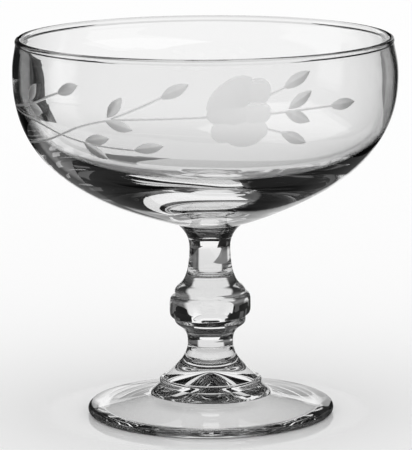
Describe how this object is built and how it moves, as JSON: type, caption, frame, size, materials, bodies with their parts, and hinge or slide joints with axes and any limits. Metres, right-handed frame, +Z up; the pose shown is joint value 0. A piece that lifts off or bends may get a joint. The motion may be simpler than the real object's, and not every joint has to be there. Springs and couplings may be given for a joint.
{
  "type": "dessert glass",
  "caption": "Stemmed dessert glass in clear glass: a wide round bowl on a baluster stem with a ringed knop and a spread foot.",
  "frame": {"origin": "on the table plane, under the centre of the bowl, which is the bottom centre of the bounding box", "axes": "+Z up along the glass, from the foot to the rim; +X to the right and +Y away from the viewer in the picture"},
  "size_m": [0.1006, 0.1006, 0.1],
  "materials": {
    "clear_glass": "fire-polished clear glass"
  },
  "bodies": {
    "root": {"bowl": "clear_glass", "stem": "clear_glass", "knop_ring": "clear_glass", "foot": "clear_glass"}
  },
  "joints": []
}
